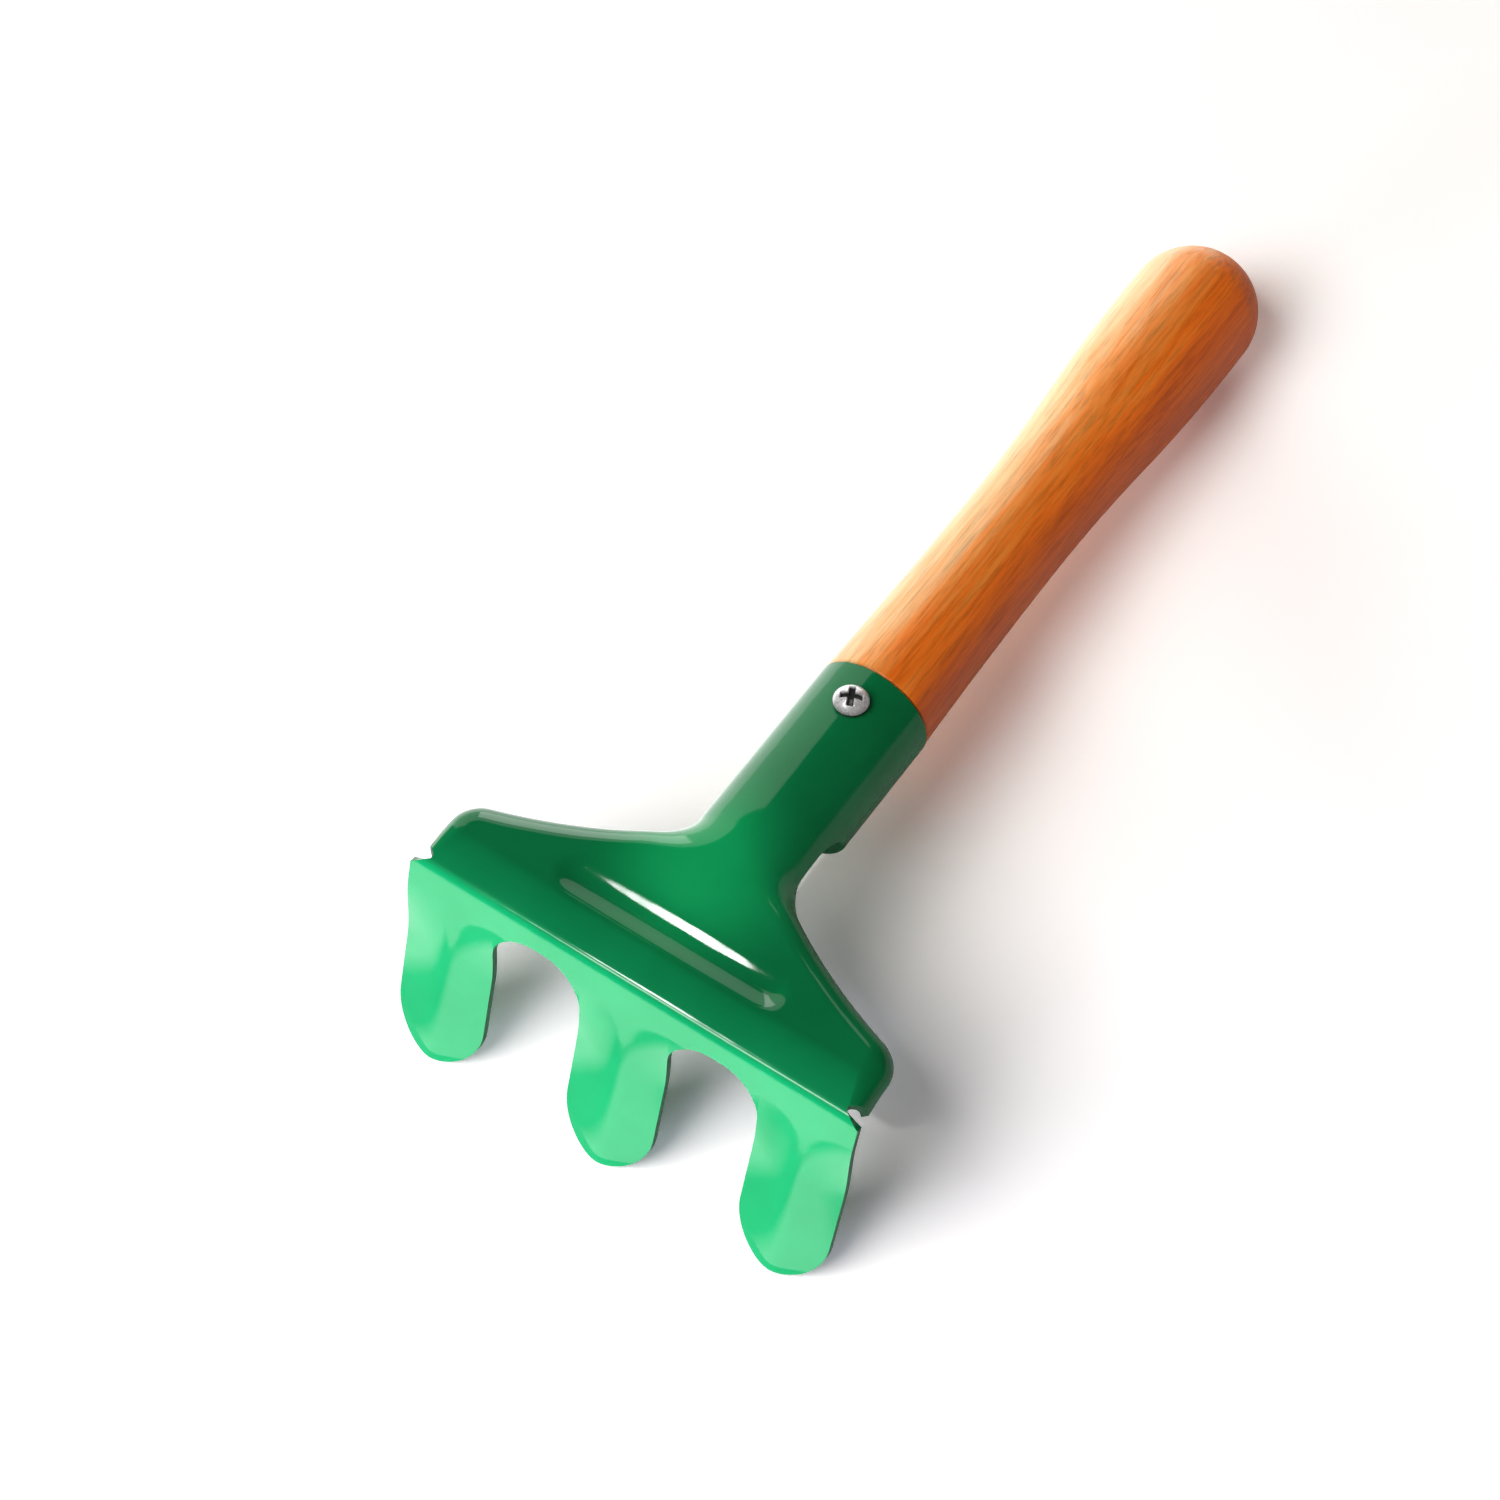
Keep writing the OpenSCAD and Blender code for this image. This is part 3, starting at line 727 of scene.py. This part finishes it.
def add_stage(name, outlines, material):
    """Flat faces of the studio, one for each outline."""
    verts, faces = [], []
    for outline in outlines:
        faces.append(tuple(range(len(verts), len(verts) + len(outline))))
        verts += outline
    mesh = bpy.data.meshes.new(name)
    mesh.from_pydata(verts, [], faces)
    mesh.materials.append(material)
    obj = bpy.data.objects.new(name, mesh)
    bpy.context.scene.collection.objects.link(obj)
    return obj


def card_material(name, strength, step):
    """An even glow, or one in soft bands across X that are a step apart."""
    mat = bpy.data.materials.new(name)
    mat.use_nodes = True
    nodes, links = mat.node_tree.nodes, mat.node_tree.links
    nodes.clear()
    glow = nodes.new("ShaderNodeEmission")
    glow.inputs["Strength"].default_value = strength
    if step:
        bands = nodes.new("ShaderNodeTexWave")
        bands.bands_direction = "X"
        bands.inputs["Scale"].default_value = math.pi / (WAVE_UNIT / 2 * step * MM)
        bands.inputs["Phase Offset"].default_value = math.pi - math.tau * BAND_SHIFT / step
        links.new(nodes.new("ShaderNodeTexCoord").outputs["Object"], bands.inputs["Vector"])
        level = add_range(nodes, links, bands.outputs["Fac"], 0.25, 0.75, BAND_DARK * strength, strength)
        links.new(level, glow.inputs["Strength"])
    links.new(glow.outputs["Emission"], nodes.new("ShaderNodeOutputMaterial").inputs["Surface"])
    return mat


def add_card(name, outlines, strength, step=0.0):
    """Cards that only glossy reflections see."""
    obj = add_stage(name, outlines, card_material(name, strength, step))
    obj.visible_camera = False
    obj.visible_diffuse = False
    obj.visible_transmission = False
    obj.visible_volume_scatter = False
    obj.visible_shadow = False


def add_flag(name, outline, material):
    """A face that only stops light."""
    obj = add_stage(name, [outline], material)
    obj.visible_camera = False
    obj.visible_diffuse = False
    obj.visible_glossy = False


def upright(x0, x1, y, z0, z1):
    return [(x0, y, z0), (x1, y, z0), (x1, y, z1), (x0, y, z1)]


def flat(x0, x1, y0, y1, z):
    return [(x0, y0, z), (x1, y0, z), (x1, y1, z), (x0, y1, z)]


def add_lamp(name, at, aim, size, power, color):
    data = bpy.data.lights.new(name, "AREA")
    data.shape = "RECTANGLE"
    data.size, data.size_y = size
    data.energy = power
    data.color = color
    aim_lamp(name, data, at, aim)


def add_spot(name, at, aim):
    data = bpy.data.lights.new(name, "SPOT")
    data.energy = SPOT_POWER
    data.spot_size = math.radians(SPOT_CONE)
    data.spot_blend = 1.0
    data.shadow_soft_size = SPOT_SOFT
    aim_lamp(name, data, at, aim)


def aim_lamp(name, data, at, aim):
    """Place a lamp, which the gloss never shows: the cards stand in for it there."""
    obj = bpy.data.objects.new(name, data)
    bpy.context.scene.collection.objects.link(obj)
    obj.location = at
    obj.rotation_euler = (Vector(aim) - Vector(at)).to_track_quat("-Z", "Y").to_euler()
    obj.visible_glossy = False


table_white = floor_material()
add_stage("table_top", [flat(-FLOOR_HALF, FLOOR_HALF, -FLOOR_HALF, FLOOR_HALF, 0.0)], table_white)

add_lamp(
    "key", at=(-0.26, -0.54, 0.86), aim=(0.0, -0.02, 0.02),
    size=(0.70, 0.70), power=9.5, color=(1.0, 0.99, 0.98),
)
add_lamp(
    "front_low", at=(-0.10, -0.75, 0.028), aim=(0.0, -0.06, 0.02),
    size=(0.50, 0.05), power=18.0, color=(0.94, 1.0, 1.25),
)
add_lamp(
    "left_low", at=(-0.70, 0.42, 0.070), aim=(0.0, 0.0, 0.02),
    size=(0.60, 0.10), power=6.1, color=(1.0, 0.99, 0.97),
)
add_lamp(
    "right_fill", at=(0.17, 0.17, 0.13), aim=(0.03, 0.05, 0.0),
    size=(0.12, 0.12), power=0.085, color=(1.0, 0.90, 0.86),
)
add_spot("plate_spot", at=(-0.22, 0.22, 0.55), aim=(-0.003, -0.048, 0.032))

# Flags below the plate and the tube keep low light from slipping through under the rake
LOW = 0.001
FLAG_Y, FLAG_END = -0.056, 0.020
UNDER_TUBE = [(FLAG_Y, LOW), (FLAG_END, LOW), (FLAG_END, 0.012), (0.0, 0.016), (FLAG_Y, 0.024)]
add_flag("plate_flag", upright(-0.030, 0.030, FLAG_Y, LOW, 0.026), table_white)
add_flag("tube_flag", [(0.0, y, z) for y, z in UNDER_TUBE], table_white)

# Cards at the back, above and on the table
BACK_Y, BACK_LEFT, BACK_TOP = 0.50, -1.40, 0.80
RIM_LEFT, RIM_RIGHT, RIM_TOP = -0.46, -0.30, 0.50
HORIZON_RIGHT, HORIZON_TOP = -0.03, 0.45
TINE_FRONT, TINE_BACK = -0.110, -0.081
LAMP_Z = 0.78
LAMP_OUTLINE = [
    (-0.259, -0.20), (-0.238, -0.13), (-0.218, -0.12),
    (-0.200, -0.21), (-0.218, -0.30), (-0.238, -0.28),
]
left_back = [
    upright(BACK_LEFT, RIM_LEFT, BACK_Y, LOW, BACK_TOP),
    upright(RIM_LEFT, RIM_RIGHT, BACK_Y, RIM_TOP, BACK_TOP),
]
add_card("left_back_card", left_back, strength=0.9)
add_card("rim_card", [upright(RIM_LEFT, RIM_RIGHT, BACK_Y, LOW, RIM_TOP)], strength=3.2)
add_card("horizon_card", [upright(RIM_RIGHT, HORIZON_RIGHT, BACK_Y, LOW, HORIZON_TOP)], strength=0.9)
add_card("table_back_card", [flat(-0.60, -0.012, -0.05, BACK_Y, LOW)], strength=1.6)
add_card("key_card", [flat(-0.34, -0.10, -0.66, -0.42, 0.86)], strength=8.0)
add_card("lamp_card", [[(x, y, LAMP_Z) for x, y in LAMP_OUTLINE]], strength=26.0)
add_card("table_card", [flat(-0.15, 0.15, -0.25, TINE_FRONT, LOW)], strength=1.7)
tine_floor = flat(-0.06, 0.06, TINE_FRONT, TINE_BACK, LOW)
add_card("tine_card", [tine_floor], strength=1.7, step=TINE_W + GAP_W)

# World: faint and warm as light, fainter in reflections, and pale for the camera
world = bpy.data.worlds.new("studio_world")
world.use_nodes = True
nodes, links = world.node_tree.nodes, world.node_tree.links
light_path = nodes.new("ShaderNodeLightPath")
glow = nodes["Background"]
glow.inputs["Color"].default_value = WORLD_TINT
level = add_range(nodes, links, light_path.outputs["Is Glossy Ray"], 0.0, 1.0, OPEN_WORLD, GLOSS_WORLD)
links.new(level, glow.inputs["Strength"])
seen = nodes.new("ShaderNodeBackground")
seen.inputs["Color"].default_value = PALE
swap = nodes.new("ShaderNodeMixShader")
links.new(light_path.outputs["Is Camera Ray"], swap.inputs["Fac"])
links.new(glow.outputs["Background"], swap.inputs[1])
links.new(seen.outputs["Background"], swap.inputs[2])
links.new(swap.outputs["Shader"], nodes["World Output"].inputs["Surface"])
bpy.context.scene.world = world

# Camera at the photograph's place
CAMERA_AT = (0.131454, -0.193214, 0.431755)
CAMERA_RIGHT = (0.826342, 0.560147, -0.058252)
CAMERA_UP = (-0.473958, 0.747581, 0.465281)
LENS_MM, SENSOR_MM, CLIP_START = 84.0, 36.0, 0.01

camera_data = bpy.data.cameras.new("camera")
camera_data.lens = LENS_MM
camera_data.sensor_width = SENSOR_MM
camera_data.clip_start = CLIP_START
camera = bpy.data.objects.new("camera", camera_data)
bpy.context.scene.collection.objects.link(camera)
right, up = Vector(CAMERA_RIGHT).normalized(), Vector(CAMERA_UP).normalized()
basis = Matrix((right, up, right.cross(up))).transposed().to_4x4()
camera.matrix_world = Matrix.Translation(Vector(CAMERA_AT)) @ basis
bpy.context.scene.camera = camera
bpy.context.scene.view_settings.view_transform = "Standard"
